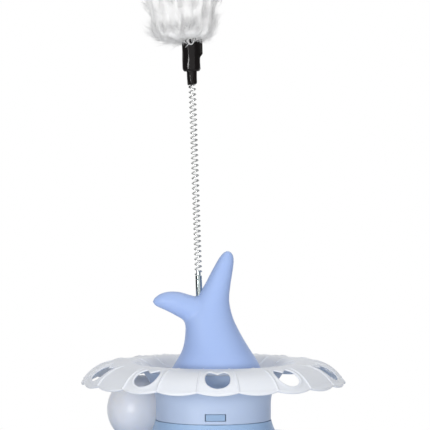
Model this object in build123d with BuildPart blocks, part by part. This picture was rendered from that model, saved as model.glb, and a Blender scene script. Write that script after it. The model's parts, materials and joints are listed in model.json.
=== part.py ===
from build123d import *

import os
from math import acos, asin, cos, degrees, pi, radians, sin, sqrt, tan

# Cat ball tower: a round base and an upper tray, each with a grooved track in which a hollow ball rolls
# round the column. A petal skirt with heart cut-outs roofs the upper track, a hollow whale tail stands in
# its bowl, and a feather on an open steel spring is plugged into the fork of the tail.
# Millimetres, +Z up, origin on the floor in the middle of the base, front at -Y.

# Balls and their tracks
ball_diameter = 45.0
ball_wall = 1.3
ball_lift = 0.3
track_play = 1.0
upper_track_radius = 61.0
lower_track_radius = 80.5
tier_gap = 3.0
upper_ball_angle = 140.0
lower_ball_angle = 305.0

# Trays: a crest runs between the lip of the track and the droop of the rim
tray_wall = 2.2
base_floor_height = 9.5
lip_angle = 34.0
lip_round = 5.0
upper_tray_crest_width = 8.9
upper_tray_droop_radius = 24.0
upper_tray_droop_angle = 55.0
base_crest_width = 15.7
base_edge_gap = 1.5
base_rib_width = 2.0
base_rib_gap = 1.5
base_rib_count = 6

# Foot pads under the base's crest
pad_count = 6
pad_radius = 7.0
pad_thickness = 3.0
pad_fit = 0.1
pad_boss_wall = 1.1

# Column joints: a spigot inside the wall above it, with spring tongues that click into windows
column_wall = 2.0
seam_drop = 3.4
seam_gap = 0.4
spigot_gap = 0.3
spigot_wall = 1.6
spigot_band = 3.1
spigot_root_depth = 3.0
tongue_count = 3
first_tongue_angle = -90.0
tongue_width = 12.7
tongue_length = 12.0
tongue_gap = 0.3
tongue_slot_gap = 0.6
window_height = 4.8
window_rise = 2.4
tab_gap = 0.5
tab_recess = 0.3

# Cup on top of the column
flare_round = 28.0
flare_drop = 27.6
flare_angle = 35.0
cup_web_thickness = 2.4
cup_seat_gap = 0.1

# Petal skirt
roof_gap = 12.2
skirt_wall = 1.6
skirt_crest_width = 5.5
skirt_droop_radius = 28.0
skirt_droop_angle = 62.5
bowl_reach = 18.5
bowl_round = 14.0
bowl_slope = 34.0
bowl_floor_round = 4.0
skirt_hole_radius = 13.0
petal_count = 20
petal_ridge_width = 1.2
petal_ridge_height = 0.4
scallop_round = 30.0
heart_width = 16.4
heart_height = 21.2
heart_cleft = 3.0
heart_centre_angle = 57.0
heart_tip_round = 4.0
first_petal_angle = -90.0

# Whale tail: heights are over the skirt's crest, places are right of the tower's axis
tail_wall = 2.0
tail_base_radius = 32.3
tail_base_shift = 0.4
tail_seat_gap = 0.3
trunk_heights = (-2.0, 6.7, 14.0, 22.3, 30.0, 40.0, 49.9, 58.7, 66.5, 70.5)
trunk_places = (2.1, 1.9, 0.6, -1.4, -3.0, -1.0, 2.5, 5.5, 8.1, 9.0)
trunk_half_widths = (27.8, 22.7, 19.5, 17.0, 15.3, 11.3, 8.6, 7.0, 5.3, 3.4)
trunk_half_depths = (27.4, 21.6, 18.2, 15.0, 12.2, 9.4, 7.6, 6.1, 4.7, 3.0)
trunk_tip_height = 72.4
trunk_tip_place = 9.3
fluke_places = (-5.0, -14.0, -22.0, -28.4, -34.0, -38.0)
fluke_heights = (30.5, 33.8, 37.0, 39.1, 39.8, 39.5)
fluke_half_heights = (10.5, 9.5, 8.6, 6.9, 5.0, 2.8)
fluke_half_depths = (10.0, 9.0, 7.8, 6.4, 4.6, 2.5)
fluke_tip_place = -39.8
fluke_tip_height = 39.2
hollow_end_half_width = 3.6
tail_pin_radius = 1.5
tail_pin_length = 4.0
tail_pin_boss_wall = 1.6
tail_pin_places = ((0.0, 16.0), (4.0, 54.0), (-26.0, 38.2))
pin_clearance = 0.1

# Screws that hold the tail down through the cup's web and the skirt's floor
screw_count = 4
first_screw_angle = 45.0
screw_inset = 8.8
screw_radius = 1.5
screw_tip_gap = 2.2
screw_head_radius = 2.8
screw_head_height = 1.9
screw_slot_width = 0.8
screw_slot_depth = 0.9
screw_boss_wall = 1.85
screw_boss_height = 13.0
screw_boss_cover = 2.0
screw_hole_clearance = 0.3
screw_thread_clearance = 0.05

# Feather wand, measured along its own axis from the fork of the tail
wand_place = -9.4
wand_fork_height = 45.0
wand_tilt = 1.9
bush_wall = 1.2
bush_floor = 2.4
bush_recess = 1.4
bush_seat_wall = 2.0
ferrule_radius = 2.15
ferrule_depth = 14.0
ferrule_rise = 11.3
ferrule_spigot_gap = 0.15
ferrule_spigot_length = 3.5
ferrule_fit = 0.05
spring_outer_radius = 2.45
spring_wire_radius = 0.42
spring_pitch = 3.3
spring_turns = 39
biarcs_per_turn = 2
spring_wire_sides = 6
spring_seat_gap = 0.3
spring_fit = 0.15
spring_sleeve_wall = 0.75
spring_sleeve_overlap = 4.4
spring_sleeve_length = 18.0
feather_sleeve_radius = 6.0
feather_sleeve_wall = 0.9
feather_sleeve_rise = 8.5
feather_sleeve_length = 21.9
feather_sleeve_floor = 4.0
feather_sleeve_round = 1.6
sleeve_ear_length = 12.0
sleeve_ear_reach = 1.8
sleeve_ear_width = 2.4
sleeve_fit = 0.05

# Feather tuft: vanes that stand round one stem
tuft_stem_gap = 0.4
tuft_stem_fit = 0.2
tuft_vane_count = 8
tuft_vane_thickness = 1.2
tuft_length = 92.0
tuft_half_width = 30.0
tuft_droop = 3.5
tuft_vane_length_shares = (1.0, 0.9, 0.97, 0.86)
tuft_outline_shares = ((0.30, 0.0), (0.62, 0.03), (0.86, 0.17), (1.0, 0.45), (0.88, 0.75), (0.52, 0.94))

# Cutting tools run this far past what they cut; ends of a profile closer than this are one point
overrun = 5.0
join_tolerance = 0.001
gap_samples_per_turn = 36

# Heights that follow from the sizes above
ball_radius = ball_diameter / 2
groove_radius = ball_radius + track_play
groove_rise = track_play - ball_lift
tier_rise = ball_diameter + tier_gap
lower_ball_height = base_floor_height + ball_lift + ball_radius
upper_ball_height = lower_ball_height + tier_rise
lower_groove_height = lower_ball_height + groove_rise
upper_groove_height = upper_ball_height + groove_rise
lower_seam_height = lower_ball_height - seam_drop
upper_seam_height = upper_ball_height - seam_drop
crest_height = upper_ball_height + ball_radius + roof_gap

# Radii that follow from them
lower_column_radius = lower_track_radius - groove_radius
upper_column_radius = upper_track_radius - groove_radius
bowl_crest_radius = upper_column_radius + bowl_reach
bowl_floor_radius = tail_base_radius + tail_base_shift + tail_seat_gap
skirt_droop_start = bowl_crest_radius + skirt_crest_width
screw_circle_radius = tail_base_radius - screw_inset
screw_boss_radius = screw_radius + screw_thread_clearance + screw_boss_wall
spring_bore_radius = spring_outer_radius - 2 * spring_wire_radius
bush_radius = ferrule_radius + ferrule_fit + bush_wall
bush_bottom = -ferrule_depth - bush_floor

# The bowl falls in a round, a straight slope and a second round to its floor
bowl_bends = bowl_round + bowl_floor_round
bowl_line_run = bowl_crest_radius - bowl_floor_radius - bowl_bends * sin(radians(bowl_slope))
bowl_round_drop = bowl_bends * (1 - cos(radians(bowl_slope)))
bowl_floor_height = crest_height - bowl_round_drop - bowl_line_run * tan(radians(bowl_slope))
cup_web_top = bowl_floor_height - skirt_wall

# Along the wand
spring_start = ferrule_rise + spring_seat_gap + spring_wire_radius
spring_end = spring_start + spring_turns * spring_pitch
spring_sleeve_start = spring_end - spring_sleeve_overlap
spring_sleeve_end = spring_sleeve_start + spring_sleeve_length
feather_sleeve_start = spring_sleeve_start + feather_sleeve_rise
feather_sleeve_top = feather_sleeve_start + feather_sleeve_length
wand_plane = Plane(
    origin=(wand_place, 0, crest_height + wand_fork_height),
    x_dir=(cos(radians(wand_tilt)), 0, sin(radians(wand_tilt))),
    z_dir=(-sin(radians(wand_tilt)), 0, cos(radians(wand_tilt))),
)


def round_point(arc, angle, inset):
    """Point of an arc of a sheet's section, on its upper side or moved in from it."""
    centre, radius, side = arc[0], arc[1], arc[4]
    reach = radius - side * inset
    return (centre[0] + reach * cos(radians(angle)), centre[1] + reach * sin(radians(angle)))


def draw_side(arcs, inset):
    """Tangent arcs, joined by straight runs, along one side of a sheet's section.

    An arc is its centre, its radius on the upper side, its start and end angles, and its side:
    1 where the sheet bulges upwards and -1 in a groove.
    """
    last = None
    for arc in arcs:
        centre, radius, start, end, side = arc
        first = round_point(arc, start, inset)
        if last is not None and (Vector(*last) - Vector(*first)).length > join_tolerance:
            Line(last, first)
        CenterArc(centre, radius - side * inset, start, end - start)
        last = round_point(arc, end, inset)


def sheet_section(arcs, upper_inset, lower_inset):
    """Closed section of a moulded sheet between two depths under its upper side."""
    with BuildSketch(Plane.XZ) as section:
        with BuildLine():
            draw_side(arcs, upper_inset)
            draw_side(arcs, lower_inset)
            for arc, angle in ((arcs[0], arcs[0][2]), (arcs[-1], arcs[-1][3])):
                Line(round_point(arc, angle, upper_inset), round_point(arc, angle, lower_inset))
        make_face()
    return section.sketch


def track_arcs(track_radius, groove_height, crest_width, droop_radius, droop_angle):
    """Upper side of a tray: column, groove, lip, crest and drooping rim."""
    seam_angle = 180 + degrees(asin((seam_drop + groove_rise) / groove_radius))
    lip_reach = (groove_radius + lip_round) * sin(radians(lip_angle))
    lip_centre = (track_radius + lip_reach, lip_top_height(groove_height) - lip_round)
    droop_centre = (lip_centre[0] + crest_width, lip_top_height(groove_height) - droop_radius)
    return (
        ((track_radius, groove_height), groove_radius, seam_angle, 270 + lip_angle, -1),
        (lip_centre, lip_round, 90 + lip_angle, 90, 1),
        (droop_centre, droop_radius, 90, 90 - droop_angle, 1),
    )


def lip_top_height(groove_height):
    """Height of the flat crest of a tray's lip."""
    return groove_height - (groove_radius + lip_round) * cos(radians(lip_angle)) + lip_round


def ring(outer_radius, inner_radius, bottom, top):
    """Plain ring round the tower's axis, added to the part that is being built."""
    with BuildSketch(Plane.XY.offset(bottom)) as plan:
        Circle(outer_radius)
        Circle(inner_radius, mode=Mode.SUBTRACT)
    extrude(plan.sketch, amount=top - bottom)


def cut_block(radius_in, radius_out, width, bottom, top, mode):
    """Upright block across a wall, at each tongue's angle."""
    with BuildSketch(Plane.XY.offset(bottom)) as plan:
        with PolarLocations((radius_in + radius_out) / 2, tongue_count, start_angle=first_tongue_angle):
            Rectangle(radius_out - radius_in, width)
    extrude(plan.sketch, amount=top - bottom, mode=mode)


def spigot(column_radius, seam_height):
    """Spigot that stands in the wall above it, with a slot for each tongue, and its root in the column."""
    outer = column_radius - column_wall - spigot_gap
    inner = outer - spigot_wall
    slot_top = seam_height + tongue_slot_gap + tongue_length + tongue_gap
    ring(outer, inner, seam_height - spigot_root_depth, slot_top + spigot_band)
    ring(column_radius - column_wall / 2, inner, seam_height - spigot_root_depth, seam_height)
    slot_width = tongue_width + 2 * tongue_slot_gap
    cut_block(inner - overrun, outer + overrun, slot_width, seam_height, slot_top, Mode.SUBTRACT)


def wall_windows(column_radius, seam_height):
    """Windows in the wall above a seam, one for each tongue's tab."""
    bottom = seam_height + window_rise
    inner = column_radius - column_wall - overrun
    width = tongue_width + 2 * tab_gap
    cut_block(inner, column_radius + overrun, width, bottom, bottom + window_height, Mode.SUBTRACT)


def make_ball(name, track_radius, height, angle):
    """Hollow ball at its place on a track."""
    place = (track_radius * cos(radians(angle)), track_radius * sin(radians(angle)), height)
    with BuildPart() as ball:
        with Locations(place):
            Sphere(ball_radius)
            Sphere(ball_radius - ball_wall, mode=Mode.SUBTRACT)
    finish(ball, name)


def make_tongue(name, column_radius, seam_height, angle):
    """Spring tongue that hangs from the top band of a spigot, with the tab that clicks into the window."""
    outer = column_radius - column_wall - spigot_gap
    inner = outer - spigot_wall
    bottom = seam_height + tongue_slot_gap
    tab_bottom = seam_height + window_rise + tab_gap
    tab_top = seam_height + window_rise + window_height - tab_gap
    with BuildPart() as tongue:
        ring(outer, inner, bottom, bottom + tongue_length)
        ring(column_radius - tab_recess, inner, tab_bottom, tab_top)
        with BuildSketch(Plane.XY.offset(bottom)):
            with PolarLocations(column_radius, 1, start_angle=angle):
                Rectangle(2 * (column_radius - inner) + overrun, tongue_width)
        extrude(amount=tongue_length, mode=Mode.INTERSECT)
    finish(tongue, name)


def finish(builder, name):
    """Label a finished piece and write it."""
    builder.part.label = name
    export_step(builder.part, f"parts/{name}.step")


os.makedirs("parts", exist_ok=True)

# Base: open underneath, with radial ribs and bosses for the foot pads
base_lip_top = lip_top_height(lower_groove_height)
base_arcs = track_arcs(
    lower_track_radius, lower_groove_height, base_crest_width, base_lip_top - base_edge_gap, 90
)
base_rim_radius = round_point(base_arcs[-1], 0, 0)[0]
pad_circle_radius = base_arcs[1][0][0] + base_crest_width / 2
with BuildPart() as base_tray:
    add(sheet_section(base_arcs, 0, tray_wall))
    revolve(axis=Axis.Z)
    spigot(lower_column_radius, lower_seam_height)
    with BuildSketch(Plane.XY.offset(base_edge_gap)):
        with PolarLocations(pad_circle_radius, pad_count):
            Circle(pad_radius + pad_fit + pad_boss_wall)
    extrude(amount=base_lip_top - tray_wall / 2 - base_edge_gap)
    rib_start = lower_column_radius
    rib_end = base_rim_radius - tray_wall / 2
    with BuildSketch(Plane.XY.offset(base_edge_gap + base_rib_gap)) as rib_plan:
        with PolarLocations((rib_start + rib_end) / 2, base_rib_count):
            Rectangle(rib_end - rib_start, base_rib_width)
    rib_band = extrude(amount=lower_groove_height, mode=Mode.PRIVATE)
    with BuildSketch(Plane.XZ) as under_base:
        with BuildLine():
            draw_side(base_arcs, tray_wall / 2)
            under_start = round_point(base_arcs[0], base_arcs[0][2], tray_wall / 2)
            under_end = round_point(base_arcs[-1], base_arcs[-1][3], tray_wall / 2)
            Polyline(under_start, (under_start[0], base_edge_gap), under_end)
        make_face()
    under_body = revolve(axis=Axis.Z, mode=Mode.PRIVATE)
    add(rib_band & under_body)
    with BuildSketch(Plane.XY):
        with PolarLocations(pad_circle_radius, pad_count):
            Circle(pad_radius + pad_fit)
    extrude(amount=pad_thickness, mode=Mode.SUBTRACT)
finish(base_tray, "base_tray")

with BuildPart() as foot_pads:
    with BuildSketch():
        with PolarLocations(pad_circle_radius, pad_count):
            Circle(pad_radius)
    extrude(amount=pad_thickness)
finish(foot_pads, "foot_pads")

# Upper tray: its column stands on the base, and its rim roofs the lower track
upper_arcs = track_arcs(
    upper_track_radius,
    upper_groove_height,
    upper_tray_crest_width,
    upper_tray_droop_radius,
    upper_tray_droop_angle,
)
column_reach = upper_track_radius - (lower_column_radius - column_wall / 2)
column_top = upper_groove_height - sqrt((groove_radius + tray_wall / 2) ** 2 - column_reach**2)
with BuildPart() as upper_tray:
    add(sheet_section(upper_arcs, 0, tray_wall))
    revolve(axis=Axis.Z)
    ring(lower_column_radius, lower_column_radius - column_wall, lower_seam_height + seam_gap, column_top)
    wall_windows(lower_column_radius, lower_seam_height)
    spigot(upper_column_radius, upper_seam_height)
finish(upper_tray, "upper_tray")

# Petal skirt: a bowl whose rim rolls out into petals, with a raised ridge between each two
skirt_arcs = (
    ((bowl_floor_radius, bowl_floor_height + bowl_floor_round), bowl_floor_round, 270, 270 + bowl_slope, -1),
    ((bowl_crest_radius, crest_height - bowl_round), bowl_round, 90 + bowl_slope, 90, 1),
    (
        (skirt_droop_start, crest_height - skirt_droop_radius),
        skirt_droop_radius,
        90,
        90 - skirt_droop_angle,
        1,
    ),
)
petal_angle = 360 / petal_count
skirt_rim_radius = round_point(skirt_arcs[-1], skirt_arcs[-1][3], 0)[0]
rim_height = round_point(skirt_arcs[-1], skirt_arcs[-1][3], skirt_wall)[1]
petal_half_width = (skirt_rim_radius + overrun) * tan(radians(petal_angle / 2))
notch_rise = scallop_round - sqrt(scallop_round**2 - petal_half_width**2)


def draw_heart(width, height):
    """Heart outline that points down its sketch's Y axis, round at the tip."""
    lobe = (width + 2 * heart_cleft - 2 * sqrt(width * heart_cleft)) / 2
    lobe_place = (width / 2 - lobe, height / 2 - lobe)
    cleft_angle = 180 - degrees(acos(lobe_place[0] / lobe))
    tip = Vector(0, -height / 2)
    to_tip = tip - Vector(*lobe_place)
    side_angle = degrees(acos(lobe / to_tip.length)) - degrees(acos(-lobe_place[0] / to_tip.length))
    with BuildSketch(mode=Mode.PRIVATE) as heart:
        with BuildLine():
            right = CenterArc(lobe_place, lobe, cleft_angle, side_angle - cleft_angle)
            Line(right @ 1, tip)
            mirror(about=Plane.YZ)
        make_face()
        fillet(heart.vertices().sort_by(Axis.Y)[0], heart_tip_round)
    add(heart.sketch)


heart_point = round_point(skirt_arcs[-1], heart_centre_angle, 0)
with BuildPart() as petal_skirt:
    add(sheet_section(skirt_arcs, 0, skirt_wall))
    revolve(axis=Axis.Z)
    with BuildSketch(Plane.XY.offset(bowl_floor_height)):
        Circle(bowl_floor_radius + bowl_floor_round / 2)
    extrude(amount=-skirt_wall)
    ridge_strip = sheet_section(skirt_arcs, -petal_ridge_height, skirt_wall / 2)
    ridge = extrude(ridge_strip, amount=petal_ridge_width / 2, both=True, mode=Mode.PRIVATE)
    with PolarLocations(0, petal_count, start_angle=first_petal_angle - petal_angle / 2):
        add(ridge)
    for petal in range(petal_count):
        turn = radians(first_petal_angle + petal * petal_angle)
        outward = Vector(cos(turn), sin(turn), 0)
        along = Vector(-sin(turn), cos(turn), 0)
        petal_origin = outward * bowl_crest_radius + Vector(0, 0, rim_height)
        right_notch = (petal_half_width, notch_rise)
        left_notch = (-petal_half_width, notch_rise)
        with BuildSketch(Plane(origin=petal_origin, x_dir=along, z_dir=outward)):
            with BuildLine():
                ThreePointArc(left_notch, (0, 0), right_notch)
                Polyline(right_notch, (petal_half_width, -overrun), (-petal_half_width, -overrun), left_notch)
            make_face()
    extrude(amount=skirt_rim_radius - bowl_crest_radius + overrun, mode=Mode.SUBTRACT)
    tilt = radians(heart_centre_angle)
    for petal in range(0, petal_count, 2):
        turn = radians(first_petal_angle + petal * petal_angle)
        middle = Vector(heart_point[0] * cos(turn), heart_point[0] * sin(turn), heart_point[1])
        normal = Vector(cos(tilt) * cos(turn), cos(tilt) * sin(turn), sin(tilt))
        with BuildSketch(Plane(origin=middle, x_dir=(-sin(turn), cos(turn), 0), z_dir=normal)):
            draw_heart(heart_width, heart_height)
    extrude(amount=overrun, both=True, mode=Mode.SUBTRACT)
    with BuildSketch(Plane.XY.offset(bowl_floor_height)):
        Circle(skirt_hole_radius)
        with PolarLocations(screw_circle_radius, screw_count, start_angle=first_screw_angle):
            Circle(screw_radius + screw_hole_clearance)
    extrude(amount=-skirt_wall, mode=Mode.SUBTRACT)
finish(petal_skirt, "petal_skirt")

# Cup: the column flares into a funnel that meets the underside of the skirt's bowl
flare_centre = (upper_column_radius + flare_round, crest_height - flare_drop)
web_middle = cup_web_top - cup_web_thickness / 2
web_depth = web_middle - flare_centre[1]
web_radius = flare_centre[0] - sqrt((flare_round + column_wall / 2) ** 2 - web_depth**2)
cup_brim_height = crest_height - skirt_wall
cup_seat_inset = skirt_wall + cup_seat_gap


def draw_flare(inset):
    """One side of the cup's wall, from the seam up past the skirt's underside."""
    foot = (upper_column_radius - inset, upper_seam_height + seam_gap)
    arc = CenterArc(flare_centre, flare_round + inset, 180, -flare_angle)
    Line(foot, arc @ 0)
    rise = cup_brim_height - (arc @ 1).Y
    brim = arc @ 1 + Vector(rise * tan(radians(flare_angle)), rise)
    Line(arc @ 1, brim)
    return foot, brim


with BuildPart() as top_cup:
    with BuildSketch(Plane.XZ):
        with BuildLine():
            outer_foot, outer_brim = draw_flare(0)
            inner_foot, inner_brim = draw_flare(column_wall)
            Line(outer_foot, inner_foot)
            Line(outer_brim, inner_brim)
        make_face()
    revolve(axis=Axis.Z)
    with BuildSketch(Plane.XZ):
        with BuildLine():
            draw_side(skirt_arcs[:2], cup_seat_inset)
            seat_start = round_point(skirt_arcs[0], skirt_arcs[0][2], cup_seat_inset)
            seat_end = round_point(skirt_arcs[1], skirt_arcs[1][3], cup_seat_inset)
            Polyline(seat_end, (seat_end[0], crest_height), (seat_start[0], crest_height), seat_start)
        make_face()
    revolve(axis=Axis.Z, mode=Mode.SUBTRACT)
    with BuildSketch(Plane.XY.offset(cup_web_top)):
        Circle(web_radius)
        Circle(skirt_hole_radius, mode=Mode.SUBTRACT)
        with PolarLocations(screw_circle_radius, screw_count, start_angle=first_screw_angle):
            Circle(screw_radius + screw_hole_clearance, mode=Mode.SUBTRACT)
    extrude(amount=-cup_web_thickness)
    wall_windows(upper_column_radius, upper_seam_height)
finish(top_cup, "top_cup")

for tongue in range(tongue_count):
    tongue_angle = first_tongue_angle + tongue * 360 / tongue_count
    make_tongue(f"lower_latch_{tongue + 1}", lower_column_radius, lower_seam_height, tongue_angle)
    make_tongue(f"upper_latch_{tongue + 1}", upper_column_radius, upper_seam_height, tongue_angle)

make_ball("upper_ball", upper_track_radius, upper_ball_height, upper_ball_angle)
make_ball("lower_ball", lower_track_radius, lower_ball_height, lower_ball_angle)


def tail_form(inset):
    """Trunk and left fluke of the tail as lofts through ellipses, or the hollow inside them."""
    with BuildPart() as form:
        sections = []
        with BuildSketch(Plane.XY.offset(bowl_floor_height)) as foot:
            with Locations((tail_base_shift, 0)):
                Circle(tail_base_radius - inset)
        sections.append(foot.sketch)
        trunk_rows = zip(trunk_heights, trunk_places, trunk_half_widths, trunk_half_depths)
        for height, place, half_width, half_depth in trunk_rows:
            if inset == 0 or half_width - inset > hollow_end_half_width:
                with BuildSketch(Plane.XY.offset(crest_height + height)) as section:
                    with Locations((place, 0)):
                        Ellipse(half_width - inset, half_depth - inset)
                sections.append(section.sketch)
        if inset == 0:
            sections.append(Vertex(trunk_tip_place, 0, crest_height + trunk_tip_height))
        loft(sections=sections)
        sections = []
        fluke_rows = zip(fluke_places, fluke_heights, fluke_half_heights, fluke_half_depths)
        for place, height, half_height, half_depth in fluke_rows:
            if inset == 0 or half_height - inset > hollow_end_half_width:
                with BuildSketch(Plane.YZ.offset(place)) as section:
                    with Locations((0, crest_height + height)):
                        Ellipse(half_depth - inset, half_height - inset)
                sections.append(section.sketch)
        if inset == 0:
            sections.append(Vertex(fluke_tip_place, 0, crest_height + fluke_tip_height))
        loft(sections=sections)
    return form.part


tail_outside = tail_form(0)
tail_hollow = tail_form(tail_wall)


def make_tail_shell(name, side):
    """Half of the tail: side -1 is the front shell with the pins, side 1 the rear shell with their holes."""
    with BuildPart() as bosses:
        with BuildSketch(Plane.XY.offset(bowl_floor_height)):
            with PolarLocations(screw_circle_radius, screw_count, start_angle=first_screw_angle):
                Circle(screw_boss_radius)
        extrude(amount=screw_boss_height)
        with BuildSketch(Plane.XZ):
            for place, height in tail_pin_places:
                with Locations((place, crest_height + height)):
                    Circle(tail_pin_radius + pin_clearance + tail_pin_boss_wall)
        extrude(amount=tail_base_radius, both=True)
        with BuildSketch(wand_plane.offset(bush_bottom - bush_seat_wall)):
            Circle(bush_radius + bush_seat_wall)
        extrude(amount=bush_seat_wall - bush_bottom)
        add(tail_outside, mode=Mode.INTERSECT)
    with BuildPart() as shell:
        add(tail_outside)
        add(tail_hollow, mode=Mode.SUBTRACT)
        add(bosses.part)
        with BuildSketch(wand_plane.offset(bush_bottom)):
            Circle(bush_radius)
        extrude(amount=-bush_recess - bush_bottom, mode=Mode.SUBTRACT)
        with BuildSketch(wand_plane.offset(-bush_recess)):
            Circle(ferrule_radius + ferrule_fit)
        extrude(amount=bush_recess + overrun, mode=Mode.SUBTRACT)
        with BuildSketch(Plane.XY.offset(bowl_floor_height)):
            with PolarLocations(screw_circle_radius, screw_count, start_angle=first_screw_angle):
                Circle(screw_radius + screw_thread_clearance)
        extrude(amount=screw_boss_height - screw_boss_cover, mode=Mode.SUBTRACT)
        split(bisect_by=Plane.XZ, keep=Keep.TOP if side < 0 else Keep.BOTTOM)
        with BuildSketch(Plane.XZ.offset(tail_pin_length if side < 0 else 0)):
            for place, height in tail_pin_places:
                with Locations((place, crest_height + height)):
                    Circle(tail_pin_radius if side < 0 else tail_pin_radius + pin_clearance)
        if side < 0:
            extrude(amount=-2 * tail_pin_length)
        else:
            extrude(amount=-tail_pin_length - pin_clearance, mode=Mode.SUBTRACT)
    finish(shell, name)


make_tail_shell("tail_front_shell", -1)
make_tail_shell("tail_rear_shell", 1)

screw_seat = cup_web_top - cup_web_thickness
with BuildPart() as tail_screws:
    with BuildSketch(Plane.XY.offset(screw_seat)):
        with PolarLocations(screw_circle_radius, screw_count, start_angle=first_screw_angle):
            Circle(screw_radius)
    extrude(amount=cup_web_thickness + skirt_wall + screw_boss_height - screw_boss_cover - screw_tip_gap)
    with BuildSketch(Plane.XY.offset(screw_seat)):
        with PolarLocations(screw_circle_radius, screw_count, start_angle=first_screw_angle):
            Circle(screw_head_radius)
    extrude(amount=-screw_head_height)
    with BuildSketch(Plane.XY.offset(screw_seat - screw_head_height)):
        with PolarLocations(screw_circle_radius, screw_count, start_angle=first_screw_angle):
            Rectangle(2 * screw_head_radius, screw_slot_width)
    extrude(amount=screw_slot_depth, mode=Mode.SUBTRACT)
finish(tail_screws, "tail_screws")

with BuildPart() as wand_socket:
    with BuildSketch(wand_plane.offset(bush_bottom)):
        Circle(bush_radius)
    extrude(amount=-bush_recess - bush_bottom)
    with BuildSketch(wand_plane.offset(-ferrule_depth)):
        Circle(ferrule_radius + ferrule_fit)
    extrude(amount=ferrule_depth + overrun, mode=Mode.SUBTRACT)
finish(wand_socket, "wand_socket")

with BuildPart() as wand_ferrule:
    with BuildSketch(wand_plane.offset(-ferrule_depth)):
        Circle(ferrule_radius)
    extrude(amount=ferrule_depth + ferrule_rise)
    with BuildSketch(wand_plane.offset(ferrule_rise)):
        Circle(spring_bore_radius - ferrule_spigot_gap)
    extrude(amount=ferrule_spigot_length)
finish(wand_ferrule, "wand_ferrule")

# Open spring: one wire, wound on biarcs of half a turn
coil_radius = spring_outer_radius - spring_wire_radius


def coil_point(turn):
    """Place on the wire's centre line after a number of turns, with Z along the wand."""
    angle = 2 * pi * turn
    return Vector(coil_radius * cos(angle), coil_radius * sin(angle), spring_pitch * turn)


def coil_direction(turn):
    """Direction of the wire's centre line after a number of turns."""
    angle = 2 * pi * turn
    return Vector(-coil_radius * sin(angle), coil_radius * cos(angle), spring_pitch / (2 * pi)).normalized()


def biarc_joint(turn_a, turn_b):
    """Point at which two arcs, tangent to the wire at both turns, run smoothly into each other."""
    chord = coil_point(turn_b) - coil_point(turn_a)
    both = coil_direction(turn_a) + coil_direction(turn_b)
    a = 4 - both.dot(both)
    b = 2 * chord.dot(both)
    reach = (-b + sqrt(b * b + 4 * a * chord.dot(chord))) / (2 * a)
    first = coil_point(turn_a) + coil_direction(turn_a) * reach
    second = coil_point(turn_b) - coil_direction(turn_b) * reach
    return (first + second) * 0.5


with BuildPart() as wand_spring:
    with BuildLine() as wire_line:
        for step in range(spring_turns * biarcs_per_turn):
            turn_a = step / biarcs_per_turn
            turn_b = (step + 1) / biarcs_per_turn
            joint = biarc_joint(turn_a, turn_b)
            TangentArc(coil_point(turn_a), joint, tangent=coil_direction(turn_a))
            TangentArc(coil_point(turn_b), joint, tangent=-coil_direction(turn_b))
    wire_path = wire_line.wire()
    with BuildSketch(Plane(origin=wire_path @ 0, z_dir=wire_path % 0)) as wire_section:
        RegularPolygon(spring_wire_radius, spring_wire_sides)
    coil = sweep(wire_section.sketch, path=wire_path, mode=Mode.PRIVATE)
    with Locations(wand_plane.offset(spring_start)):
        add(coil)
finish(wand_spring, "wand_spring")

coil_steps = spring_turns * gap_samples_per_turn
coil_samples = [coil_point(step / gap_samples_per_turn) for step in range(coil_steps + 1)]
near_turn = gap_samples_per_turn // 2
least_centre_gap = min(
    (coil_samples[i] - coil_samples[j]).length
    for i in range(len(coil_samples))
    for j in range(i + near_turn, min(i + 2 * gap_samples_per_turn, len(coil_samples)))
)
print(f"wand_spring: least gap to itself {least_centre_gap - 2 * spring_wire_radius:.2f} mm")

spring_sleeve_radius = spring_outer_radius + spring_fit + spring_sleeve_wall
with BuildPart() as spring_sleeve:
    with BuildSketch(wand_plane.offset(spring_sleeve_start)):
        Circle(spring_sleeve_radius)
        Circle(spring_outer_radius + spring_fit, mode=Mode.SUBTRACT)
    extrude(amount=spring_sleeve_length)
finish(spring_sleeve, "spring_sleeve")

with BuildPart() as feather_sleeve:
    with BuildSketch(wand_plane.offset(feather_sleeve_start)):
        Circle(feather_sleeve_radius)
    extrude(amount=feather_sleeve_length)
    fillet(feather_sleeve.edges().group_by(Axis.Z)[0], feather_sleeve_round)
    with BuildSketch(wand_plane.offset(feather_sleeve_top)):
        with Locations((feather_sleeve_radius + sleeve_ear_reach / 2 - feather_sleeve_wall / 2, 0)):
            Rectangle(sleeve_ear_reach + feather_sleeve_wall, sleeve_ear_width)
    extrude(amount=-sleeve_ear_length)
    with BuildSketch(wand_plane.offset(feather_sleeve_start + feather_sleeve_floor)):
        Circle(feather_sleeve_radius - feather_sleeve_wall)
    extrude(amount=feather_sleeve_length, mode=Mode.SUBTRACT)
    with BuildSketch(wand_plane.offset(feather_sleeve_start)):
        Circle(spring_sleeve_radius + sleeve_fit)
    extrude(amount=feather_sleeve_floor, mode=Mode.SUBTRACT)
finish(feather_sleeve, "feather_sleeve")

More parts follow.
